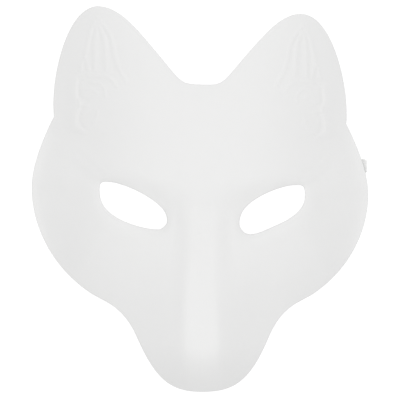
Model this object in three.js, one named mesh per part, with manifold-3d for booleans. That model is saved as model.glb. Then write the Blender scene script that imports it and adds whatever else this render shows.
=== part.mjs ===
// A fox mask blank: one thin moulded shell with low relief on its ears, and the elastic band that holds it
// on the head. It lies face up, with +Z out of the face, +Y to the ears and +X to the viewer's right.
// Millimetres. Heights are those of the outer face above the surface that the rim rests on.
import * as THREE from 'three';
import { mergeVertices } from 'three/addons/utils/BufferGeometryUtils.js';
import Module from 'manifold-3d';

const { clamp, degToRad, lerp, smoothstep } = THREE.MathUtils;

// Shell, with a narrow flat foot along its rim at the cheeks and temples
const wall = 1.5;
const footWidth = 2;

// Landmarks of the outline on one side: distance from the middle line, and place above or below the eyes
const notchY = 61.3;
const earInnerX = 32.7;
const earInnerBulge = 6.6;
const earTipX = 54.2;
const earTipY = 101.2;
const earRootX = 78.2;
const earRootY = 42.5;
const cheekX = 90;
const cheekY = 4.9;
const jawX = 60.2;
const jawY = -49.6;
const muzzleX = 35;
const muzzleY = -73.6;
const chinY = -102.2;

// Eye openings
const eyeX = 37.3;
const eyeY = -3.7;
const eyeLength = 33.8;
const eyeHeight = 24.4;

// Arch of the face from side to side: forehead, temples, cheeks and jaw
const foreheadZ = 49;
const jawArchZ = 77.6;
const archFullness = 2.65;
const archFlare = 1.4;
const jawTaper = 0.28;
const jawTaperY = -6;
const jawRounding = 6;
const templeTaper = 6.5;
const templeY = 34;
const earSetBack = 0.004;
const earSetBackY = 20;
const earSetBackRounding = 12;
const archRounding = 4;

// Nose ridge and muzzle
const noseRootY = -3;
const noseRootZ = 47.7;
const rootRounding = 3;
const noseTipY = -75.4;
const noseTipZ = 67;
const tipRounding = 6;
const tipOnset = 3;
const tipFall = 24.4;
const tipBow = 2.6;
const tipLag = 0.36;
const ridgeRootHalf = 3.2;
const ridgeTipHalf = 9.3;
const ridgeRounding = 2.4;
const ridgeSideDrop = 3.9;
const ridgeSideRun = 11;
const ridgeSideFull = 5;
const ridgeSideGone = 45;
const flankSlope = 0.07;
const flankSteepening = 1.71;

// Brow, and the hollow round each eye opening
const browRootY = -6.8;
const browRise = 0.47;
const browRun = 21;
const browRounding = 6;
const socketDepth = 1.6;
const socketWidth = 8;

// Rolled edge of the ears, and the hair tufts on them
const rollDrop = 1.3;
const rollWidth = 12.5;
const rollStartY = 25;
const rollFullY = 60;
const tuftWidth = 1.8;
const tuftRise = 0.85;
const tuftEndSink = 0.45;

// The real moulding isn't quite even: its left ear stands taller
const leanAcross = 0.015;
const leanGrowth = 0.00023;
const leanUp = 0.0061;
const middleShift = 0.000161;

// Head band: a flat elastic
const bandWidth = 8;
const bandThickness = 1;
const bandClearance = 0.1;
const bandEndY = 19.5;
const bandAir = 0.75;
const bandLift = bandClearance + bandThickness + bandAir;
const bandLiftNear = 1.5;
const bandLiftAbove = 7;
const bandLiftBelow = 16;
const bandLiftReach = 34;
const bandLiftFull = 14;

// Fineness of the facets
const gridStep = 5.1;
const tipGridStep = 3;
const outlineSteps = 72;
const eyeSteps = 36;
const bandSteps = 64;
const tuftStepsPerMark = 1.6;
const tuftSides = 6;
const slopeReach = 0.5;
const trimSpare = 10;
const sheetSpare = 2;

const softRamp = (v, soft) => (v + Math.hypot(v, soft)) / 2;
const softMin = (a, b, soft) => (a + b - Math.hypot(a - b, soft)) / 2;
const softAbs = (v, soft) => Math.hypot(v, soft) - soft;

// An edge drawn through marks. Each mark has a place, the heading of the edge there in degrees, and how far
// the edge holds that heading before and after it; a corner arrives on another heading than it leaves on.
function trace(marks) {
  const path = new THREE.Path();
  path.moveTo(marks[0].x, marks[0].y);
  for (let i = 1; i < marks.length; i++) {
    const from = marks[i - 1];
    const to = marks[i];
    const leaving = degToRad(from.heading);
    const arriving = degToRad(to.arrives ?? to.heading);
    path.bezierCurveTo(
      from.x + from.after * Math.cos(leaving),
      from.y + from.after * Math.sin(leaving),
      to.x - to.before * Math.cos(arriving),
      to.y - to.before * Math.sin(arriving),
      to.x,
      to.y
    );
  }
  return path;
}

// The outline from the notch between the ears, round one side and down to the chin
function halfOutline() {
  return trace([
    { x: 0, y: notchY, heading: 0, after: 13.9 },
    { x: earInnerX, y: (notchY + earTipY) / 2 + earInnerBulge, heading: 48, before: 35, after: 12.2 },
    { x: earTipX, y: earTipY, heading: 0, before: 6.6, after: 17.2 },
    { x: earRootX, y: earRootY, arrives: -96, heading: -60, before: 19.2, after: 0 },
    { x: cheekX, y: cheekY, heading: -90, before: 15.8, after: 1 },
    { x: jawX, y: jawY, heading: 214.6, before: 38.2, after: 9.3 },
    { x: muzzleX, y: muzzleY, heading: 246.5, before: 19.6, after: 25.8 },
    { x: 0, y: chinY, heading: 180, before: 16.4, after: 0 },
  ]).getSpacedPoints(outlineSteps);
}

// The opening for the eye on the viewer's right: a slanted leaf, round at its outer top corner. Its marks are
// shares of its length and height, and how far an edge holds its heading is a share of its length.
function eyeOpening() {
  const marks = [
    { x: 0.322, y: 0.5, heading: 5.5, before: 0.204, after: 0.16 },
    { x: 0.5, y: 0.23, heading: -95, before: 0.207, after: 0.148 },
    { x: 0.228, y: -0.27, heading: 210, before: 0.201, after: 0.183 },
    { x: -0.45, y: -0.5, heading: 137, before: 0.107, after: 0.077 },
    { x: -0.5, y: -0.168, heading: 72, before: 0.163, after: 0.26 },
  ].map((mark) => ({
    x: eyeX + mark.x * eyeLength,
    y: eyeY + mark.y * eyeHeight,
    heading: mark.heading,
    before: mark.before * eyeLength,
    after: mark.after * eyeLength,
  }));
  return trace([...marks, marks[0]]).getSpacedPoints(eyeSteps).slice(0, -1);
}

const rightEdge = halfOutline();
const leftEdge = rightEdge.slice(1, -1).map((point) => new THREE.Vector2(-point.x, point.y)).reverse();
const outline = [...rightEdge, ...leftEdge];
const rightEye = eyeOpening();
const leftEye = rightEye.map((point) => new THREE.Vector2(-point.x, point.y)).reverse();

// Distance in plan to the right of an edge as it runs, and 0 to its left
function distanceRightOf(edge, x, y) {
  let least = Infinity;
  let right = true;
  for (let i = 1; i < edge.length; i++) {
    const a = edge[i - 1];
    const runX = edge[i].x - a.x;
    const runY = edge[i].y - a.y;
    const along = clamp(((x - a.x) * runX + (y - a.y) * runY) / (runX ** 2 + runY ** 2), 0, 1);
    const away = Math.hypot(x - a.x - along * runX, y - a.y - along * runY);
    if (away < least) {
      least = away;
      right = runX * (y - a.y) - runY * (x - a.x) <= 0;
    }
  }
  return right ? least : 0;
}

const inFromRim = (x, y) => distanceRightOf(rightEdge, Math.abs(x), y);
const eyeEdge = [...rightEye, rightEye[0]].reverse();
const outFromEye = (x, y) => distanceRightOf(eyeEdge, Math.abs(x), y);

// How far down the nose a place is, from its root
const downNose = (y) => softRamp(noseRootY - y, rootRounding);

// Half the width of the flat top of the nose ridge
function ridgeHalf(y) {
  return lerp(ridgeRootHalf, ridgeTipHalf, Math.min(1, downNose(y) / (noseRootY - noseTipY)));
}

// The muzzle: a flat-topped ridge that climbs to the nose and falls off round its end, between flanks that
// steepen towards the chin. The root of the ridge has short sides of its own, between the eyes.
function muzzleHeight(x, y) {
  const half = ridgeHalf(y);
  const out = softRamp(Math.abs(x) - half, ridgeRounding);
  const climb = (noseTipZ - noseRootZ) / (noseRootY - noseTipY);
  const bow = tipBow * (1 - Math.exp(-((x / half) ** 2))) - tipLag * out;
  const past = softRamp(noseTipY + bow - y, tipOnset) / (noseTipY - chinY);
  const crest = noseRootZ + climb * (downNose(y) - softRamp(noseTipY - y, tipRounding)) - tipFall * past ** 2;
  const slope = flankSlope + flankSteepening * Math.min(1, downNose(y) / (noseRootY - chinY));
  const atRoot = 1 - smoothstep(downNose(y), ridgeSideFull, ridgeSideGone);
  const sideDrop = ridgeSideDrop * atRoot * smoothstep(Math.abs(x) - half, 0, ridgeSideRun);
  return crest - slope * out - sideDrop;
}

// Half the width of the arch, out to the foot: it narrows at the jaw and at the temples
function archHalf(y) {
  const jaw = jawTaper * softRamp(jawTaperY - y, jawRounding);
  const temple = templeTaper * smoothstep(y, cheekY, templeY);
  return cheekX - footWidth - jaw - temple;
}

// The arch from side to side, which leans back at the ears
function archHeight(x, y) {
  const top = lerp(foreheadZ, jawArchZ, smoothstep(-y, -noseRootY, -noseTipY));
  const fall = (1 - Math.min(1, Math.abs(x) / archHalf(y)) ** archFullness) ** archFlare;
  return top * fall * (1 - earSetBack * softRamp(y - earSetBackY, earSetBackRounding));
}

// The hollow round an eye opening, which follows its edge
function socketHollow(x, y) {
  return socketDepth * Math.max(0, 1 - outFromEye(x, y) / socketWidth) ** 2;
}

// Height of the outer face at a place in plan
function faceHeight(x, y) {
  const arch = archHeight(x, y);
  const lower = softMin(arch, muzzleHeight(x, y), archRounding);
  const browLine = browRootY + browRise * softAbs(x, browRounding);
  const aboveBrow = smoothstep(y, browLine - browRun / 2, browLine + browRun / 2);
  const fromBand = Math.abs(y - bandEndY) - bandWidth / 2;
  const bandLiftFar = y > bandEndY ? bandLiftAbove : bandLiftBelow;
  const atBand = 1 - smoothstep(fromBand, bandLiftNear, bandLiftFar);
  const atSide = smoothstep(Math.abs(x), cheekX - bandLiftReach, cheekX - bandLiftFull);
  const lift = wall + bandLift * atBand * atSide;
  const atEar = smoothstep(y, rollStartY, rollFullY);
  const roll = atEar > 0 ? atEar * Math.max(0, 1 - inFromRim(x, y) / rollWidth) ** 2 : 0;
  return lerp(lower, arch, aboveBrow) + lift - rollDrop * roll - socketHollow(x, y);
}

// Height of the inner face: the wall's thickness is measured square to the outer face
function backHeight(x, y) {
  const slopeX = (faceHeight(x + slopeReach, y) - faceHeight(x - slopeReach, y)) / (2 * slopeReach);
  const slopeY = (faceHeight(x, y + slopeReach) - faceHeight(x, y - slopeReach)) / (2 * slopeReach);
  return faceHeight(x, y) - wall * Math.hypot(1, slopeX, slopeY);
}

const wasm = await Module();
wasm.setup();

// A closed three.js geometry as a solid that can be joined and cut
function toSolid(geometry) {
  const bare = new THREE.BufferGeometry();
  bare.setAttribute('position', geometry.getAttribute('position').clone());
  if (geometry.index) {
    bare.setIndex(geometry.index.clone());
  }
  const merged = mergeVertices(bare, 1e-4);
  return new wasm.Manifold(new wasm.Mesh({
    numProp: 3,
    vertProperties: new Float32Array(merged.getAttribute('position').array),
    triVerts: new Uint32Array(merged.index.array),
  }));
}

function toGeometry(solid) {
  const mesh = solid.getMesh();
  const geometry = new THREE.BufferGeometry();
  geometry.setAttribute('position', new THREE.BufferAttribute(Float32Array.from(mesh.vertProperties), 3));
  geometry.setIndex(Array.from(mesh.triVerts));
  return geometry;
}

// A straight-sided die of a plan outline, from one height to another
function die(points, fromZ, toZ) {
  const shape = new THREE.Shape(points);
  const geometry = new THREE.ExtrudeGeometry(shape, { depth: toZ - fromZ, bevelEnabled: false });
  return toSolid(geometry.translate(0, 0, fromZ));
}

// Places from one end to the other, about a step apart
function spaced(from, to, step) {
  const count = Math.max(1, Math.round(Math.abs(to - from) / step));
  return Array.from({ length: count }, (_, i) => lerp(from, to, i / count));
}

// The pressed sheet before it is trimmed: a grid whose columns follow the edges of the nose ridge
function pressedSheet() {
  const farX = cheekX + sheetSpare;
  const rows = [
    ...spaced(chinY - sheetSpare, noseTipY, tipGridStep),
    ...spaced(noseTipY, earTipY + sheetSpare, gridStep),
    earTipY + sheetSpare,
  ];
  const sideColumns = Math.round((cheekX - footWidth - ridgeTipHalf) / gridStep);
  const columnsAt = (y) => {
    const inner = ridgeHalf(y);
    const outer = inner + ridgeRounding;
    const foot = archHalf(y);
    const beyond = Array.from({ length: sideColumns }, (_, i) => lerp(outer, foot, (i + 1) / sideColumns));
    const right = [inner, outer, ...beyond, farX];
    return [...right.map((x) => -x).reverse(), 0, ...right];
  };
  const columns = columnsAt(0).length;
  const positions = [];
  for (const height of [faceHeight, backHeight]) {
    for (const y of rows) {
      for (const x of columnsAt(y)) {
        positions.push(x, y, height(x, y));
      }
    }
  }
  const layer = rows.length * columns;
  const at = (row, column, level) => level * layer + row * columns + column;
  const triangles = [];
  for (let row = 0; row < rows.length - 1; row++) {
    for (let column = 0; column < columns - 1; column++) {
      for (const level of [0, 1]) {
        const [a, b] = [at(row, column, level), at(row, column + 1, level)];
        const [c, d] = [at(row + 1, column + 1, level), at(row + 1, column, level)];
        const halves = column < columns / 2 - 0.5 ? [[a, b, d], [b, c, d]] : [[a, b, c], [a, c, d]];
        triangles.push(...halves.flatMap((half) => (level === 0 ? half : half.reverse())));
      }
    }
  }
  const border = [];
  for (let column = 0; column < columns - 1; column++) {
    border.push([0, column]);
  }
  for (let row = 0; row < rows.length - 1; row++) {
    border.push([row, columns - 1]);
  }
  for (let column = columns - 1; column > 0; column--) {
    border.push([rows.length - 1, column]);
  }
  for (let row = rows.length - 1; row > 0; row--) {
    border.push([row, 0]);
  }
  border.forEach(([row, column], i) => {
    const [nextRow, nextColumn] = border[(i + 1) % border.length];
    const [a, b] = [at(row, column, 0), at(nextRow, nextColumn, 0)];
    const [c, d] = [at(nextRow, nextColumn, 1), at(row, column, 1)];
    triangles.push(a, d, b, b, d, c);
  });
  const geometry = new THREE.BufferGeometry();
  geometry.setAttribute('position', new THREE.Float32BufferAttribute(positions, 3));
  geometry.setIndex(triangles);
  return toSolid(geometry);
}

// Hair tufts on the ear on the viewer's right: strands that fan down from the tip, a wave under them, and
// two curls at the outer edge
const tufts = [
  [[55, 94.5], [50.5, 89.5], [47.5, 84], [46.2, 77], [44, 69.5], [40, 62]],
  [[54.2, 91.5], [51.8, 85], [50.8, 78], [50.4, 68]],
  [[55.4, 90.5], [56.4, 83], [56.5, 75], [56.4, 67.5]],
  [[56.5, 93.5], [58.8, 87.5], [60.6, 80], [61.6, 74.5]],
  [[45, 60], [47.3, 63.3], [51, 65.4], [55.5, 65.5], [60, 65.4]],
  [[66.3, 62.5], [67.2, 56.5], [66.6, 52.6], [64.9, 49.5], [66.3, 46], [67.2, 41], [66.2, 37.2], [61.5, 33.8]],
];

// A raised strand: a tube half sunk in the face, whose ends lie lower
function strand(points, mirror) {
  const radius = tuftWidth / 2;
  const section = new THREE.Shape(Array.from({ length: tuftSides }, (_, i) => {
    const turn = (i / tuftSides) * 2 * Math.PI;
    return new THREE.Vector2(radius * Math.cos(turn), radius * Math.sin(turn));
  }));
  const last = points.length - 1;
  const line = points.map(([x, y], i) => {
    const sunk = radius - tuftRise + (i === 0 || i === last ? tuftEndSink : 0);
    return new THREE.Vector3(mirror * x, y, faceHeight(mirror * x, y) - sunk);
  });
  const steps = Math.round(points.length * tuftStepsPerMark);
  const extrudePath = new THREE.CatmullRomCurve3(line);
  return toSolid(new THREE.ExtrudeGeometry(section, { steps, extrudePath, bevelEnabled: false }));
}

// The unevenness of the real moulding, as a move of each place in plan
function lean(geometry) {
  const position = geometry.getAttribute('position');
  for (let i = 0; i < position.count; i++) {
    const x = position.getX(i);
    const y = position.getY(i);
    const leanX = x - leanUp * y - middleShift * x * x;
    position.setXY(i, leanX, (y - leanAcross * x) / (1 + leanGrowth * x));
  }
  return geometry;
}

// The shell: the pressed sheet, trimmed by the outline die, with its eyes punched out and its tufts joined on
function maskShell() {
  const top = Math.max(noseTipZ, jawArchZ) + wall + trimSpare;
  let solid = pressedSheet().intersect(die(outline, 0, top));
  for (const mirror of [1, -1]) {
    for (const points of tufts) {
      solid = solid.add(strand(points, mirror));
    }
  }
  for (const eye of [rightEye, leftEye]) {
    solid = solid.subtract(die(eye, -trimSpare, top));
  }
  const geometry = lean(toGeometry(solid));
  geometry.computeBoundingBox();
  const middle = geometry.boundingBox.getCenter(new THREE.Vector3());
  return geometry.translate(-middle.x, -middle.y, 0);
}

// The head band lies slack in the hollow behind the forehead, in a bend under each ear. Its ends are stuck
// under the rim at the temples, and its right end sticks out a little past the rim.
function headBand() {
  const z = bandClearance + bandThickness / 2;
  const route = new THREE.CatmullRomCurve3([
    [89.3, 17.4], [79, 17.4], [69, 21.6], [62.7, 30], [61.6, 41], [61.6, 52], [57.4, 63], [46, 68.5],
    [34.6, 63], [29, 52], [25.5, 38.5], [15, 27], [0, 23], [-15, 27], [-25.5, 38.5], [-29, 52],
    [-34.6, 63], [-46, 68.5], [-57.4, 63], [-61.6, 52], [-61.6, 41], [-63.5, 31], [-70, 24],
    [-78.5, 20.8], [-86.8, 20.8],
  ].map(([x, y]) => new THREE.Vector3(x, y, z)));
  const [t, w, chamfer] = [bandThickness / 2, bandWidth / 2, bandThickness / 4];
  const section = new THREE.Shape([
    [-t, -w + chamfer], [-t + chamfer, -w], [t - chamfer, -w], [t, -w + chamfer],
    [t, w - chamfer], [t - chamfer, w], [-t + chamfer, w], [-t, w - chamfer],
  ].map(([x, y]) => new THREE.Vector2(x, y)));
  return new THREE.ExtrudeGeometry(section, { steps: bandSteps, extrudePath: route, bevelEnabled: false });
}

function piece(name, geometry, look) {
  geometry.computeVertexNormals();
  const mesh = new THREE.Mesh(geometry, new THREE.MeshStandardMaterial(look));
  mesh.name = name;
  return mesh;
}

const mask = new THREE.Group();
mask.add(piece('mask_shell', maskShell(), { color: 0xf2f2f1, roughness: 0.85, metalness: 0 }));
mask.add(piece('elastic_band', headBand(), { color: 0xf4f4f2, roughness: 0.95, metalness: 0 }));

export default mask;
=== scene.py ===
import math

import bpy
import numpy as np
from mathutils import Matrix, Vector
from mathutils.geometry import delaunay_2d_cdt


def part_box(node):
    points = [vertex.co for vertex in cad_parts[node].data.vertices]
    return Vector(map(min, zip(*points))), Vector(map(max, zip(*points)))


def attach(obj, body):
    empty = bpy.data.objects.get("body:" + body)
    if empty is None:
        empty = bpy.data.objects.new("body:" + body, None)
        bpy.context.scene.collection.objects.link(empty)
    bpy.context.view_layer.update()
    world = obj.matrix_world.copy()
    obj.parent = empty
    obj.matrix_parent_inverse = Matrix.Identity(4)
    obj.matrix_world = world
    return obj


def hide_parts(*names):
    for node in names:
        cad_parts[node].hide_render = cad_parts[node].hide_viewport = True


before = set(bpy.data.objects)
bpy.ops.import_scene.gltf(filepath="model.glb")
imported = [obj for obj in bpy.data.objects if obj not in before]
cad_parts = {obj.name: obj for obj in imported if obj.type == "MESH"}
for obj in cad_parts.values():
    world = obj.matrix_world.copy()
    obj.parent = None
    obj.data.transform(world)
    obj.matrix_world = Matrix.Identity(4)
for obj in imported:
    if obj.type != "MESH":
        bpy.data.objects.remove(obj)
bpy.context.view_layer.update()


# The mask shell: one sheet of white paper pulp, pressed over a mould, open at the back and lying on its rim.
# A die trims its outline and eye holes straight down. One side is drawn and mirrored: each mark gives a
# place in millimetres, the edge's headings in and out in degrees, and how far before and after it they hold.
millimetre = 0.001
notch_y = 61.3
ear_inner_x = 32.7
ear_inner_bulge = 6.6
ear_tip_x, ear_tip_y = 54.2, 101.2
cheek_x, cheek_y = 90, 4.9
chin_y = -102.2
outline_marks = [
    (0, notch_y, 0, 0, 0, 13.9),
    (ear_inner_x, (notch_y + ear_tip_y) / 2 + ear_inner_bulge, 48, 48, 35, 12.2),
    (ear_tip_x, ear_tip_y, 0, 0, 6.6, 17.2),
    (78.2, 42.5, -96, -60, 19.2, 0),
    (cheek_x, cheek_y, -90, -90, 15.8, 1),
    (60.2, -49.6, 214.6, 214.6, 38.2, 9.3),
    (35, -73.6, 246.5, 246.5, 19.6, 25.8),
    (0, chin_y, 180, 180, 16.4, 0),
]
eye_x, eye_y = 37.3, -3.7
eye_length, eye_height = 33.8, 24.4
# the same for an eye hole, in shares of its length and height, and of its length for how far headings hold
eye_marks = [
    (0.322, 0.5, 5.5, 5.5, 0.204, 0.16),
    (0.5, 0.23, -95, -95, 0.207, 0.148),
    (0.228, -0.27, 210, 210, 0.201, 0.183),
    (-0.45, -0.5, 137, 137, 0.107, 0.077),
    (-0.5, -0.168, 72, 72, 0.163, 0.26),
    (0.322, 0.5, 5.5, 5.5, 0.204, 0.16),
]
edge_spacing = 0.7


def cut_edge(marks):
    points = []
    for start, end in zip(marks[:-1], marks[1:]):
        leaving, arriving = math.radians(start[3]), math.radians(end[2])
        corners = np.array([
            (start[0], start[1]),
            (start[0] + start[5] * math.cos(leaving), start[1] + start[5] * math.sin(leaving)),
            (end[0] - end[4] * math.cos(arriving), end[1] - end[4] * math.sin(arriving)),
            (end[0], end[1]),
        ])
        reach = np.linalg.norm(np.diff(corners, axis=0), axis=1).sum()
        t = np.linspace(0, 1, max(2, round(reach / edge_spacing)), endpoint=False)[:, None]
        points.append(
            (1 - t) ** 3 * corners[0] + 3 * (1 - t) ** 2 * t * corners[1]
            + 3 * (1 - t) * t**2 * corners[2] + t**3 * corners[3]
        )
    return np.vstack(points)


right_rim = np.vstack([cut_edge(outline_marks), [(0, chin_y)]])
rim_loop = np.vstack([right_rim, right_rim[-2:0:-1] * (-1, 1)])
right_eye = cut_edge([
    (eye_x + x * eye_length, eye_y + y * eye_height, into, out, before * eye_length, after * eye_length)
    for x, y, into, out, before, after in eye_marks
])
eye_ring = np.vstack([right_eye, right_eye[:1]])
left_eye = right_eye[::-1] * (-1, 1)


def distance_to_line(x, y, line):
    least = np.full(len(x), np.inf)
    for a, b in zip(line[:-1], line[1:]):
        run = b - a
        along = np.clip(((x - a[0]) * run[0] + (y - a[1]) * run[1]) / max(run @ run, 1e-12), 0, 1)
        least = np.minimum(least, np.hypot(x - a[0] - along * run[0], y - a[1] - along * run[1]))
    return least


def lies_inside(x, y, loop):
    inside = np.zeros(len(x), bool)
    for a, b in zip(loop, np.roll(loop, -1, axis=0)):
        if a[1] != b[1]:
            crosses = (a[1] > y) != (b[1] > y)
            inside ^= crosses & (x < (b[0] - a[0]) * (y - a[1]) / (b[1] - a[1]) + a[0])
    return inside


def on_paper(x, y):
    return lies_inside(x, y, rim_loop) & ~lies_inside(np.abs(x), y, right_eye)


def from_edges(x, y):
    return distance_to_line(np.abs(x), y, right_rim), distance_to_line(np.abs(x), y, eye_ring)


# The form of the face: a forehead arched from side to side, a long muzzle whose flat-topped ridge climbs to
# the nose, a soft brow over a hollow round each eye hole, and ears with a rolled edge. Heights are in
# millimetres above the surface that the rim rests on.
wall = 1.5
foot_width = 2
forehead_z, jaw_arch_z = 49, 77.6
arch_fullness, arch_flare = 2.75, 1.48
jaw_taper, jaw_taper_y, jaw_rounding = 0.25, -6, 6
temple_taper, temple_y = 5.6, 34
ear_set_back, ear_set_back_y, ear_set_back_rounding = 0.004, 20, 12
arch_rounding = 4
nose_root_y, nose_root_z, root_rounding = -3, 47.7, 3
nose_tip_y, nose_tip_z, tip_rounding = -77.6, 67, 7
tip_onset, tip_fall, tip_bow, tip_lag = 3, 23, 2.2, 0.2
ridge_root_half, ridge_tip_half, ridge_rounding = 3.8, 8.9, 2.5
ridge_lean, ridge_lean_start, ridge_lean_full = 0.95, 15, 60
ridge_side_drop, ridge_side_run, ridge_side_full, ridge_side_gone = 4.3, 11, 5, 51
flank_slope, flank_steepening = 0.04, 1.73
brow_root_y, brow_rise, brow_rounding = -5.2, 0.455, 6
brow_run_middle, brow_run_side = 27, 13.5
brow_middle_end, brow_side_start = 8, 30
brow_inner_start, brow_inner_end = 30, 46
brow_outer_drop, brow_outer_width = 0.65, 8.6
socket_depth, socket_width = 1.4, 7.7
lip_depth, lip_width = 0.5, 4
brow_shelter, brow_shelter_start, brow_shelter_full = 0.8, -2, 6
eye_tilt = math.radians(20)
roll_drop, roll_width, roll_start_y, roll_full_y = 1.3, 12.5, 25, 60
band_y, band_width = 19.5, 8
band_lift, band_lift_near, band_lift_above, band_lift_below = 1.85, 1.5, 13, 16
band_lift_inner, band_lift_outer = 56, 76


def soft_ramp(v, soft):
    return (v + np.hypot(v, soft)) / 2


def fade(v, start, end):
    t = np.clip((v - start) / (end - start), 0, 1)
    return t * t * (3 - 2 * t)


def mix(a, b, share):
    return a + (b - a) * share


def down_nose(y):
    return soft_ramp(nose_root_y - y, root_rounding)


def ridge_half(y):
    share = np.minimum(1, down_nose(y) / (nose_root_y - nose_tip_y))
    return mix(ridge_root_half, ridge_tip_half, share)


def from_ridge(x, y):
    return np.abs(x + ridge_lean * fade(-y, ridge_lean_start, ridge_lean_full))


def muzzle_height(x, y):
    half, side = ridge_half(y), from_ridge(x, y)
    out = soft_ramp(side - half, ridge_rounding)
    climb = (nose_tip_z - nose_root_z) / (nose_root_y - nose_tip_y)
    bow = tip_bow * (1 - np.exp(-((side / half) ** 2))) - tip_lag * out
    past = soft_ramp(nose_tip_y + bow - y, tip_onset) / (nose_tip_y - chin_y)
    rise = climb * (down_nose(y) - soft_ramp(nose_tip_y - y, tip_rounding))
    crest = nose_root_z + rise - tip_fall * past**2
    slope = flank_slope + flank_steepening * np.minimum(1, down_nose(y) / (nose_root_y - chin_y))
    at_root = 1 - fade(down_nose(y), ridge_side_full, ridge_side_gone)
    side_drop = ridge_side_drop * at_root * fade(side - half, 0, ridge_side_run)
    return crest - slope * out - side_drop


def arch_height(x, y):
    jaw = jaw_taper * soft_ramp(jaw_taper_y - y, jaw_rounding)
    temple = temple_taper * fade(y, cheek_y, temple_y)
    half = cheek_x - foot_width - jaw - temple
    top = mix(forehead_z, jaw_arch_z, fade(-y, -nose_root_y, -nose_tip_y))
    fall = (1 - np.minimum(1, np.abs(x) / half) ** arch_fullness) ** arch_flare
    return top * fall * (1 - ear_set_back * soft_ramp(y - ear_set_back_y, ear_set_back_rounding))


def eye_hollow(x, y, from_eye):
    over = (y - eye_y) * math.cos(eye_tilt) - (np.abs(x) - eye_x) * math.sin(eye_tilt)
    under_brow = fade(over, brow_shelter_start, brow_shelter_full)
    outer = fade(np.abs(x), brow_inner_start, brow_inner_end)
    socket = socket_depth * np.maximum(0, 1 - from_eye / socket_width) ** 2
    lip = lip_depth * np.maximum(0, 1 - from_eye / lip_width) ** 2
    brow_hollow = brow_outer_drop * np.maximum(0, 1 - from_eye / brow_outer_width) ** 2
    sheltered = 1 - brow_shelter * under_brow * (1 - outer)
    return (socket + lip) * sheltered + brow_hollow * under_brow * outer


def face_height(x, y, from_rim, from_eye):
    arch, muzzle = arch_height(x, y), muzzle_height(x, y)
    lower = (arch + muzzle - np.hypot(arch - muzzle, arch_rounding)) / 2
    brow_line = brow_root_y + brow_rise * (np.hypot(x, brow_rounding) - brow_rounding)
    brow_run = mix(brow_run_middle, brow_run_side, fade(np.abs(x), brow_middle_end, brow_side_start))
    over_brow = fade(y, brow_line - brow_run / 2, brow_line + brow_run / 2)
    band_lift_far = np.where(y > band_y, band_lift_above, band_lift_below)
    at_band = 1 - fade(np.abs(y - band_y) - band_width / 2, band_lift_near, band_lift_far)
    at_side = fade(np.abs(x), band_lift_inner, band_lift_outer)
    roll = fade(y, roll_start_y, roll_full_y) * np.maximum(0, 1 - from_rim / roll_width) ** 2
    hollow = eye_hollow(x, y, from_eye)
    lift = band_lift * at_band * at_side
    return mix(lower, arch, over_brow) + wall + lift - roll_drop * roll - hollow


def wall_drop(x, y, from_rim, from_eye):
    reach = 0.5
    left, right = (face_height(x + step, y, from_rim, from_eye) for step in (-reach, reach))
    below, above = (face_height(x, y + step, from_rim, from_eye) for step in (-reach, reach))
    return wall * np.sqrt(1 + ((right - left) ** 2 + (above - below) ** 2) / (2 * reach) ** 2)


# The relief on the ears: tufts of hair moulded with the sheet as low rounded strands, with furrows between
# them. They fan down from the tip of each ear to a wave, and curl twice at its outer edge. A crease runs on
# from the brow past each eye's outer corner. Each line is drawn on the side at the viewer's right.
tuft_lines = [
    [(55, 94.5), (50.5, 89.5), (47.5, 84), (46.2, 77), (44, 69.5), (40, 62)],
    [(54.2, 91.5), (51.8, 85), (50.8, 78), (50.4, 68)],
    [(55.4, 90.5), (56.4, 83), (56.5, 75), (56.4, 67.5)],
    [(56.5, 93.5), (58.8, 87.5), (60.6, 80), (61.6, 74.5)],
    [(45.3, 59.5), (47.6, 62.5), (51, 64.4), (55.5, 64.6), (60, 64.5)],
]
fine_tuft_lines = [
    [(59.6, 67.3), (60.8, 71.3), (62, 74), (63.2, 71.3), (64.3, 67)],
    [(51.2, 53.6), (51.4, 57.4), (54, 60.2), (58.6, 61)],
    [(55.8, 55.6), (58, 57.1), (60.6, 56.6)],
    [(60.2, 48.2), (62.6, 48.6), (64.9, 49.2)],
    [(55.4, 46), (55.8, 42.2), (57.6, 39.9)],
]
furrow_lines = [
    [(54.2, 93.2), (51.3, 88), (49.1, 82.5), (48.2, 75), (46.6, 67)],
    [(53.8, 86), (53.6, 78), (53.3, 69.5)],
    [(57, 88), (58.6, 82), (58.7, 75), (58.4, 68.5)],
    [(62, 71), (62, 66.8)],
    [(50, 63.1), (55, 63.1), (60.4, 62.8)],
]
curl_line = [
    (66.3, 62.5), (67.2, 56.5), (66.6, 52.6), (64.9, 49.5),
    (66.3, 46), (67.2, 41), (66.2, 37.2), (61.5, 33.8),
]
curl_height, curl_inner, curl_outer = 0.55, 1.9, 7
curl_fade_in, curl_fade_out = (32.5, 35.5), (61, 66)
curl_furrow_lines = [
    [(64.3, 60.5), (65, 56.5), (64.3, 53), (60.8, 51.2)],
    [(63.3, 47), (64.4, 44), (64.7, 40.6), (63.3, 37.6), (61, 36)],
]
crease_lines = [
    [(53.4, 12.6), (57, 16.2), (60.6, 19), (64, 22.2)],
]
relief_steps = 10
# each kind of line: half its width and its height, below the face if negative
reliefs = [
    (tuft_lines, 1.9, 0.34),
    (fine_tuft_lines, 1.5, 0.26),
    (furrow_lines, 1.5, -0.1),
    (curl_furrow_lines, 1.5, -0.26),
    (crease_lines, 3, -0.26),
]


def flowing_line(points, steps):
    stops = np.array(points, float)
    stops = np.vstack([2 * stops[0] - stops[1], stops, 2 * stops[-1] - stops[-2]])
    line = []
    for a, b, c, d in zip(stops[:-3], stops[1:-2], stops[2:-1], stops[3:]):
        t = np.linspace(0, 1, steps, endpoint=False)[:, None]
        square = a - 2.5 * b + 2 * c - d / 2
        cube = 1.5 * (b - c) + (d - a) / 2
        line.append(b + t * (c - a) / 2 + t**2 * square + t**3 * cube)
    return np.vstack([*line, stops[-2:-1]])


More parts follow.
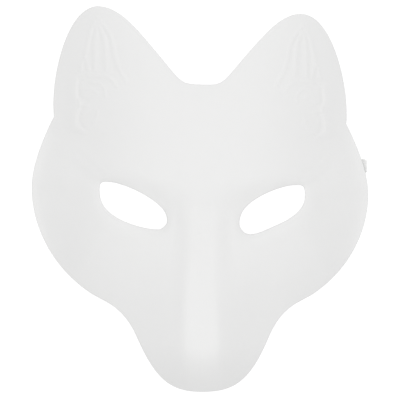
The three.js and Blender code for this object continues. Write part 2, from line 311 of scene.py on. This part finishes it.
def line_relief(x, y):
    total = np.zeros(len(x))
    for lines, half_width, height in reliefs:
        nearest = np.full(len(x), np.inf)
        for points in lines:
            nearest = np.minimum(nearest, distance_to_line(np.abs(x), y, flowing_line(points, relief_steps)))
        total += height * (1 - fade(nearest, 0, half_width))
    curl = flowing_line(curl_line, relief_steps)
    beyond = np.abs(x) > np.interp(y, curl[::-1, 1], curl[::-1, 0])
    from_curl = distance_to_line(np.abs(x), y, curl)
    at_curl = fade(y, *curl_fade_in) * (1 - fade(y, *curl_fade_out))
    total += curl_height * at_curl * (1 - fade(from_curl, 0, np.where(beyond, curl_outer, curl_inner)))
    return total


# The mould isn't quite even. Below each crease the sheet steps down. The nose ridge's left shoulder is
# filled, its right one drops into a furrow, and it has a small dimple. The muzzle's flanks run into the
# cheeks in a valley, deeper on the right. Front and inside follow it all, so that the wall stays whole.
temple_step, temple_step_onset, temple_step_run, temple_step_reach = 1.5, 1, 8, 34
temple_fade_in, temple_fade_out = (-9, 3), (8, 24)
left_fill, left_fill_out, left_reach = 0.9, 2, 4
left_fade_in, left_fade_out = (25, 50), (56, 74)
right_drop, right_run, right_fade_in = 2.4, 9, (34, 64)
valley_x, valley_y, valley_reach_x, valley_reach_y = 32.5, -56, 12.5, 32
left_valley, right_valley = 1.0, 1.7
dimple_x, dimple_y, dimple_depth, dimple_reach = -2.2, -18.4, 0.12, 0.8


def bell(x, y, middle_x, middle_y, reach_x, reach_y):
    return np.exp(-(((x - middle_x) / reach_x) ** 2) - ((y - middle_y) / reach_y) ** 2)


def temple_drop(x, y):
    inner, outer = np.array(crease_lines[0][0]), np.array(crease_lines[0][-1])
    run = (outer - inner) / np.linalg.norm(outer - inner)
    along = (np.abs(x) - inner[0]) * run[0] + (y - inner[1]) * run[1]
    below = (np.abs(x) - inner[0]) * run[1] - (y - inner[1]) * run[0]
    at_crease = fade(along, *temple_fade_in) * (1 - fade(along, *temple_fade_out))
    step_down = fade(below, -temple_step_onset, temple_step_run)
    step_back = 1 - fade(below, temple_step_run, temple_step_reach)
    return temple_step * step_down * step_back * at_crease


def ridge_unevenness(x, y):
    out = from_ridge(x, y) - ridge_half(y)
    at_left = fade(-y, *left_fade_in) * (1 - fade(-y, *left_fade_out)) * (x < 0)
    left = left_fill * np.exp(-(((out - left_fill_out) / left_reach) ** 2)) * at_left
    at_right = fade(-y, *right_fade_in) * (x > 0)
    right = right_drop * (1 - np.exp(-((np.maximum(0, out) / right_run) ** 2))) * at_right
    dimple = dimple_depth * bell(x, y, dimple_x, dimple_y, dimple_reach, dimple_reach)
    valley = bell(np.abs(x), y, valley_x, valley_y, valley_reach_x, valley_reach_y)
    return left - right - dimple - np.where(x < 0, left_valley, right_valley) * valley


def moulded_height(x, y, from_rim, from_eye):
    return face_height(x, y, from_rim, from_eye) + ridge_unevenness(x, y) - temple_drop(x, y)


# The shell's mesh: fine over the face, finer still on the tufts and along the nose ridge, coarser on the
# inside, with both edges of the wall rounded as soft pulp is.
face_spacing, relief_spacing, back_spacing = 1.1, 0.5, 2.6
outer_rounding, inner_rounding = 0.55, 0.35
edge_offsets = [0.08, 0.22, 0.42, 0.7]
edge_levels = [0.15, 0.5, 0.85]
edge_clearance = 0.35
merge_distance = 1e-5
ridge_margin, ridge_fine_low, ridge_fine_high = 3, -96, 5
relief_margin, near_steps = 0.6, 6


def plan_points(spacing, keep):
    low, high = rim_loop.min(axis=0), rim_loop.max(axis=0)
    rows = np.arange(low[1], high[1], spacing * math.sqrt(3) / 2)
    columns = np.arange(low[0], high[0], spacing)
    x, y = np.meshgrid(columns, rows)
    x = (x + (np.arange(len(rows)) % 2)[:, None] * spacing / 2).ravel()
    y = y.ravel()
    held = keep(x, y)
    return np.column_stack([x[held], y[held]])


def inward_offset(loop, offset, side):
    run = np.roll(loop, -1, axis=0) - np.roll(loop, 1, axis=0)
    run /= np.linalg.norm(run, axis=1)[:, None]
    return loop + side * offset * np.column_stack([run[:, 1], -run[:, 0]])


def clear_of_edges(x, y):
    return on_paper(x, y) & (np.minimum(*from_edges(x, y)) > edge_offsets[-1] + edge_clearance)


def near_relief(x, y):
    side = np.abs(x)
    near = (np.abs(side - ridge_half(y)) < ridge_margin) & (y > ridge_fine_low) & (y < ridge_fine_high)
    for lines, half_width, _ in reliefs:
        for points in lines:
            from_line = distance_to_line(side, y, flowing_line(points, near_steps))
            near = near | (from_line < half_width + relief_margin)
    from_curl = distance_to_line(side, y, flowing_line(curl_line, near_steps))
    return near | (from_curl < curl_inner + relief_margin)


def sheet_layer(spacing, finer):
    loops = [rim_loop, right_eye, left_eye]
    rings = [inward_offset(rim_loop, offset, 1) for offset in edge_offsets]
    for eye in (right_eye, left_eye):
        rings += [inward_offset(eye, offset, -1) for offset in edge_offsets]
    broad = plan_points(spacing, clear_of_edges)
    if finer:
        fine = plan_points(finer, clear_of_edges)
        fine = fine[near_relief(fine[:, 0], fine[:, 1])]
        broad = broad[~near_relief(broad[:, 0], broad[:, 1])]
        broad = np.vstack([broad, fine])
    points = np.vstack([*loops, *rings, broad])
    edges, start = [], 0
    for loop in loops:
        edges += [(start + i, start + (i + 1) % len(loop)) for i in range(len(loop))]
        start += len(loop)
    border = start
    _, _, faces, sources, _, _ = delaunay_2d_cdt([Vector(p) for p in points], edges, [], 0, merge_distance)
    first = [source[0] for source in sources]
    faces = np.array([[first[i] for i in face] for face in faces])
    on_border = (faces < border).all(axis=1)
    middle_x, middle_y = points[faces].mean(axis=1).T
    outside = on_border & ~on_paper(middle_x, middle_y)
    faces = faces[~outside]
    a, b, c = (points[faces[:, i]] for i in range(3))
    turned = (b[:, 0] - a[:, 0]) * (c[:, 1] - a[:, 1]) < (c[:, 0] - a[:, 0]) * (b[:, 1] - a[:, 1])
    faces[turned] = faces[turned][:, ::-1]
    return points, faces, [len(loop) for loop in loops]


def edge_drop(from_edge, rounding):
    inset = np.clip(rounding - from_edge, 0, rounding)
    return rounding - np.sqrt(rounding**2 - inset**2)


# The finished moulding leans a little to one side, and its eye holes aren't quite alike: the viewer's right
# one reaches lower and further out, the left one further in. Each line gives a place, how far the sheet is
# moved there along x and y, and how far round it the move reaches.
eye_shifts = [
    (27, -15.5, 0, -1.5, 9),
    (54, 2, 0.9, 0, 9),
    (-25, -15.5, 0, 0.5, 9),
    (-20, -10, 0.85, 0, 7),
]
lean_up, lean_bend, lean_across, lean_spread = 0.0061, 0.000161, 0.015, 0.00023


def leant(x, y):
    for centre_x, centre_y, move_x, move_y, reach in eye_shifts:
        share = bell(x, y, centre_x, centre_y, reach, reach)
        x, y = x + move_x * share, y + move_y * share
    return x - lean_up * y - lean_bend * x**2, (y - lean_across * x) / (1 + lean_spread * x)


def pressed_shell():
    top, top_faces, loops = sheet_layer(face_spacing, relief_spacing)
    back, back_faces, _ = sheet_layer(back_spacing, None)
    x, y = top.T
    from_rim, from_eye = from_edges(x, y)
    top_z = moulded_height(x, y, from_rim, from_eye) + line_relief(x, y)
    top_z -= edge_drop(np.minimum(from_rim, from_eye), outer_rounding)
    back_x, back_y = back.T
    back_rim, back_eye = from_edges(back_x, back_y)
    back_z = moulded_height(back_x, back_y, back_rim, back_eye)
    back_z -= wall_drop(back_x, back_y, back_rim, back_eye)
    back_z = np.maximum(back_z + edge_drop(np.minimum(back_rim, back_eye), inner_rounding), 0)
    verts = [np.column_stack([top, top_z]), np.column_stack([back, back_z])]
    faces = [tuple(face) for face in top_faces]
    faces += [tuple(len(top) + face[::-1]) for face in back_faces]
    total, start = len(top) + len(back), 0
    for count in loops:
        ring = np.arange(start, start + count)
        upper, lower = ring, ring + len(top)
        levels = [upper]
        for share in edge_levels:
            z = mix(top_z[ring], back_z[ring], share)
            verts.append(np.column_stack([x[ring], y[ring], z]))
            levels.append(np.arange(total, total + count))
            total += count
        levels.append(lower)
        for high, low in zip(levels[:-1], levels[1:]):
            for i in range(count):
                j = (i + 1) % count
                faces.append((int(high[j]), int(high[i]), int(low[i]), int(low[j])))
        start += count
    verts = np.vstack(verts)
    verts[:, 0], verts[:, 1] = leant(verts[:, 0], verts[:, 1])
    shell_low, shell_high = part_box("mask_shell")
    cad_middle = (shell_low + shell_high) / 2 / millimetre
    for axis in range(2):
        verts[:, axis] += cad_middle[axis] - (verts[:, axis].min() + verts[:, axis].max()) / 2
    mesh = bpy.data.meshes.new("pulp_shell")
    mesh.from_pydata((verts * millimetre).tolist(), [], [tuple(int(i) for i in face) for face in faces])
    mesh.validate()
    mesh.shade_smooth()
    shell = bpy.data.objects.new("pulp_shell", mesh)
    bpy.context.scene.collection.objects.link(shell)
    return shell


# White paper pulp: matt, with a faint mottle of fibres, a very fine tooth, and slow unevenness from the
# mould. Its two whites are nearly the same.
pulp_shade, pulp_light = (0.6825, 0.6825, 0.68, 1), (0.6885, 0.6885, 0.6865, 1)
mottle_scale, tooth_scale, wave_scale = 140, 900, 60
tooth_strength, tooth_depth = 0.08, 0.1 * millimetre
wave_strength, wave_depth = 0.05, 0.6 * millimetre


def white_pulp():
    material = bpy.data.materials.new("white_pulp")
    material.use_nodes = True
    tree = material.node_tree
    shader = tree.nodes["Principled BSDF"]
    place = tree.nodes.new("ShaderNodeTexCoord")
    mottle = tree.nodes.new("ShaderNodeTexNoise")
    mottle.inputs["Scale"].default_value = mottle_scale
    mottle.inputs["Detail"].default_value = 6
    mottle.inputs["Roughness"].default_value = 0.62
    tint = tree.nodes.new("ShaderNodeValToRGB")
    tint.color_ramp.elements[0].position = 0.3
    tint.color_ramp.elements[0].color = pulp_shade
    tint.color_ramp.elements[1].position = 0.7
    tint.color_ramp.elements[1].color = pulp_light
    tooth = tree.nodes.new("ShaderNodeTexNoise")
    tooth.inputs["Scale"].default_value = tooth_scale
    tooth.inputs["Detail"].default_value = 4
    tooth_bump = tree.nodes.new("ShaderNodeBump")
    tooth_bump.inputs["Strength"].default_value = tooth_strength
    tooth_bump.inputs["Distance"].default_value = tooth_depth
    wave = tree.nodes.new("ShaderNodeTexNoise")
    wave.inputs["Scale"].default_value = wave_scale
    wave.inputs["Detail"].default_value = 3
    wave_bump = tree.nodes.new("ShaderNodeBump")
    wave_bump.inputs["Strength"].default_value = wave_strength
    wave_bump.inputs["Distance"].default_value = wave_depth
    for texture in (mottle, tooth, wave):
        tree.links.new(place.outputs["Object"], texture.inputs["Vector"])
    tree.links.new(mottle.outputs["Fac"], tint.inputs["Fac"])
    tree.links.new(tint.outputs["Color"], shader.inputs["Base Color"])
    tree.links.new(wave.outputs["Fac"], wave_bump.inputs["Height"])
    tree.links.new(tooth.outputs["Fac"], tooth_bump.inputs["Height"])
    tree.links.new(wave_bump.outputs["Normal"], tooth_bump.inputs["Normal"])
    tree.links.new(tooth_bump.outputs["Normal"], shader.inputs["Normal"])
    shader.inputs["Roughness"].default_value = 0.85
    shader.inputs["Specular IOR Level"].default_value = 0.25
    return material


shell = pressed_shell()
shell.data.materials.append(white_pulp())
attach(shell, "root")
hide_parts("mask_shell")


# The head band: a flat white woven elastic, 8 mm wide, whose ends are stuck under the rim at the temples.
# It lies slack in the hollow behind the forehead, and its right end sticks out a little past the rim.
band_thickness = 1.0
band_z = 0.6
band_route = [
    (89.3, 17.4), (79, 17.4), (69, 21.6), (62.7, 30), (61.6, 41), (61.6, 52), (57.4, 63), (46, 68.5),
    (34.6, 63), (29, 52), (25.5, 38.5), (15, 27), (0, 23), (-15, 27), (-25.5, 38.5), (-29, 52),
    (-34.6, 63), (-46, 68.5), (-57.4, 63), (-61.6, 52), (-61.6, 41), (-63.5, 31), (-70, 24),
    (-78.5, 20.8), (-86.8, 20.8),
]
band_steps = 14
rib_count, rib_facets, rib_height = 9, 6, 0.12
edge_share = 0.1
end_rounding, end_run = 0.22, 2
thread_shade, thread_light = (0.68, 0.68, 0.675, 1), (0.75, 0.75, 0.745, 1)
thread_scale, thread_waver = 0.55, 0.6
thread_strength, thread_depth = 0.5, 0.1 * millimetre


def elastic_band():
    line = flowing_line(band_route, band_steps)
    run = np.gradient(line, axis=0)
    run /= np.linalg.norm(run, axis=1)[:, None]
    side = np.column_stack([-run[:, 1], run[:, 0]])
    lengths = np.concatenate([[0], np.cumsum(np.linalg.norm(np.diff(line, axis=0), axis=1))])
    shares = np.linspace(-1, 1, rib_count * rib_facets + 1)
    half = band_thickness / 2
    ribs = rib_height * (np.cos(shares * rib_count * math.pi) - 1) / 2
    into_edge = ((np.abs(shares) - (1 - edge_share)) / edge_share).clip(0)
    edge = half * (1 - np.sqrt(np.clip(1 - into_edge**2, 0, 1)))
    ring = list(zip(shares, half + ribs - edge))
    ring += [(share, -z) for share, z in ring[-2:0:-1]]
    from_end = np.minimum(lengths, lengths[-1] - lengths)
    half_widths = band_width / 2 * (1 - end_rounding * np.maximum(0, 1 - from_end / end_run) ** 2)
    verts, faces = [], []
    for point, out, half_width in zip(line, side, half_widths):
        for share, z in ring:
            place = point + out * share * half_width
            verts.append((place[0] * millimetre, place[1] * millimetre, (band_z + z) * millimetre))
    sides = len(ring)
    for i in range(len(line) - 1):
        for j in range(sides):
            k = (j + 1) % sides
            faces.append((i * sides + j, i * sides + k, (i + 1) * sides + k, (i + 1) * sides + j))
    faces.append(tuple(range(sides))[::-1])
    faces.append(tuple((len(line) - 1) * sides + j for j in range(sides)))
    mesh = bpy.data.meshes.new("head_band")
    mesh.from_pydata(verts, [], faces)
    mesh.validate()
    weave = mesh.uv_layers.new(name="weave")
    for loop in mesh.loops:
        section, place = divmod(loop.vertex_index, sides)
        weave.data[loop.index].uv = (ring[place][0] * band_width / 2, lengths[section])
    mesh.shade_smooth()
    band = bpy.data.objects.new("head_band", mesh)
    bpy.context.scene.collection.objects.link(band)
    centre = [(x * millimetre, y * millimetre, band_z * millimetre) for x, y in line]
    return band, centre, lengths[-1] * millimetre


def woven_elastic():
    material = bpy.data.materials.new("woven_elastic")
    material.use_nodes = True
    tree = material.node_tree
    shader = tree.nodes["Principled BSDF"]
    place = tree.nodes.new("ShaderNodeUVMap")
    place.uv_map = "weave"
    threads = tree.nodes.new("ShaderNodeTexWave")
    threads.wave_type = "BANDS"
    threads.bands_direction = "Y"
    threads.inputs["Scale"].default_value = thread_scale
    threads.inputs["Distortion"].default_value = thread_waver
    bump = tree.nodes.new("ShaderNodeBump")
    bump.inputs["Strength"].default_value = thread_strength
    bump.inputs["Distance"].default_value = thread_depth
    tint = tree.nodes.new("ShaderNodeValToRGB")
    tint.color_ramp.elements[0].color = thread_shade
    tint.color_ramp.elements[1].color = thread_light
    tree.links.new(place.outputs["UV"], threads.inputs["Vector"])
    tree.links.new(threads.outputs["Color"], tint.inputs["Fac"])
    tree.links.new(tint.outputs["Color"], shader.inputs["Base Color"])
    tree.links.new(threads.outputs["Fac"], bump.inputs["Height"])
    tree.links.new(bump.outputs["Normal"], shader.inputs["Normal"])
    shader.inputs["Roughness"].default_value = 0.9
    shader.inputs["Sheen Weight"].default_value = 0.2
    return material


band, band_centre, band_length = elastic_band()
band.data.materials.append(woven_elastic())
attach(band, "root")
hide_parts("elastic_band")


# The table: a plain matt white top that the mask lies on. It's lit softly from under as well, so that it
# stays white inside the eye holes, where the mask keeps the room's light off.
table_half = 6
table_glow = 0.89


def white_table():
    mesh = bpy.data.meshes.new("table_top")
    half = table_half
    corners = [(-half, -half, 0), (half, -half, 0), (half, half, 0), (-half, half, 0)]
    mesh.from_pydata(corners, [], [(0, 1, 2, 3)])
    top = bpy.data.objects.new("table_top", mesh)
    bpy.context.scene.collection.objects.link(top)
    material = bpy.data.materials.new("white_table")
    material.use_nodes = True
    shader = material.node_tree.nodes["Principled BSDF"]
    shader.inputs["Base Color"].default_value = (0.2, 0.2, 0.2, 1)
    shader.inputs["Roughness"].default_value = 0.9
    shader.inputs["Specular IOR Level"].default_value = 0
    shader.inputs["Emission Color"].default_value = (1, 1, 1, 1)
    shader.inputs["Emission Strength"].default_value = table_glow
    mesh.materials.append(material)
    return top


white_table()


# The light: a white room all round, and a large soft panel overhead, a little towards the ears. It leaves
# no hard shadow on a white form.
room_glow = 0.93
panel_size, panel_watts = 1.4, 9.3
panel_place, panel_aim = (0.04, 0.22, 1.58), (0, 0, 0.03)

room = bpy.data.worlds.new("white_room")
room.use_nodes = True
room.node_tree.nodes["Background"].inputs["Color"].default_value = (1, 1, 1, 1)
room.node_tree.nodes["Background"].inputs["Strength"].default_value = room_glow
bpy.context.scene.world = room

panel = bpy.data.lights.new("overhead_panel", "AREA")
panel.shape = "SQUARE"
panel.size = panel_size
panel.energy = panel_watts
overhead = bpy.data.objects.new("overhead_panel", panel)
overhead.location = panel_place
overhead.rotation_euler = (Vector(panel_aim) - overhead.location).to_track_quat("-Z", "Y").to_euler()
overhead.visible_camera = False
bpy.context.scene.collection.objects.link(overhead)
bpy.context.scene.view_settings.view_transform = "Standard"
bpy.context.scene.view_settings.look = "None"


# The camera: straight over the middle of the mask, far off with a long lens, the ears up in the picture. It
# frames the width that the photograph does.
frame_width = 0.21382
frame_middle = (0.00003, -0.0007)
focus_height = 0.008
camera_height = 7.0

lens = bpy.data.cameras.new("camera")
lens.sensor_width = 36
lens.lens = lens.sensor_width * (camera_height - focus_height) / frame_width
lens.clip_end = 20
camera = bpy.data.objects.new("camera", lens)
camera.location = (*frame_middle, camera_height)
bpy.context.scene.collection.objects.link(camera)
bpy.context.scene.camera = camera
